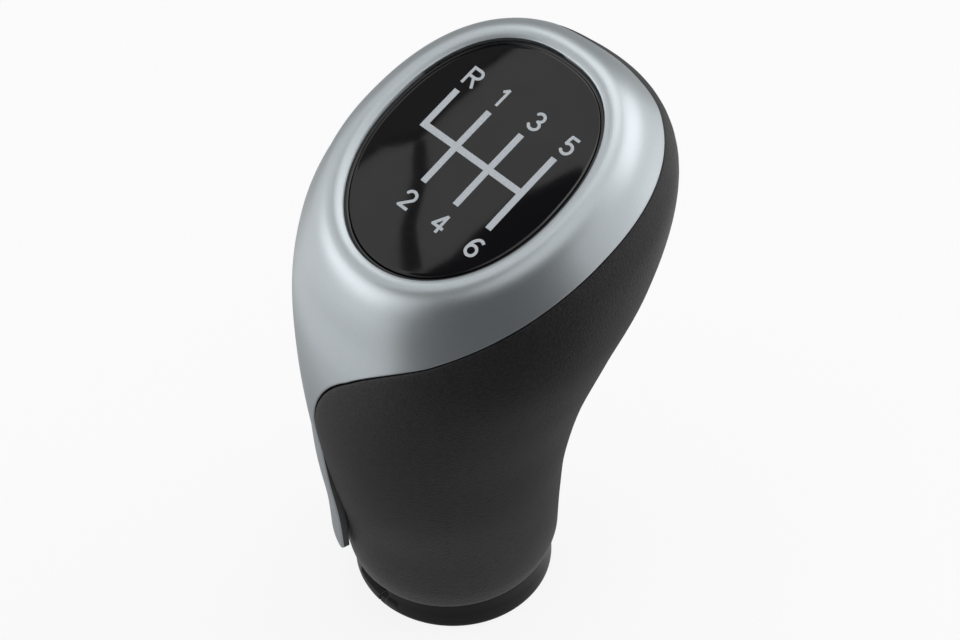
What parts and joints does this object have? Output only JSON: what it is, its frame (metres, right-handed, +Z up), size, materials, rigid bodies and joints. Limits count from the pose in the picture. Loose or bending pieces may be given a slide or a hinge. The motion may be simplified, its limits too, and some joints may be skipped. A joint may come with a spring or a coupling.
{
  "type": "gear shift knob",
  "caption": "Push-on manual gear shift knob: leather grip, satin trim shell with a tail at the back, oval badge with a gate pattern, snap collar for the boot.",
  "frame": {"origin": "centre of the lever bore's mouth, on the plane of the collar's foot", "axes": "+X to the car's right, +Y to the car's front, +Z up along the gear lever"},
  "size_m": [0.0531, 0.0593, 0.0941],
  "materials": {
    "satin_silver": "satin silver paint",
    "grain_leather": "fine grain, matte",
    "black_plastic": "satin",
    "core_plastic": "as moulded",
    "gloss_black": "gloss",
    "pale_print": "print",
    "foam_pad": "matte",
    "sleeve_nylon": "as moulded",
    "steel": "bright",
    "black_rubber": "matte"
  },
  "bodies": {
    "root": {"collar_ring": "black_plastic", "grip_core": "core_plastic", "leather_cover": "grain_leather", "trim_cover": "satin_silver", "badge_carrier": "black_plastic", "carrier_screw_front": "steel", "carrier_screw_rear": "steel", "badge_tape": "foam_pad", "badge_plate": "gloss_black", "gate_print": "pale_print", "lever_sleeve": "sleeve_nylon", "spring_clip": "steel", "end_stop": "black_rubber"}
  },
  "joints": []
}
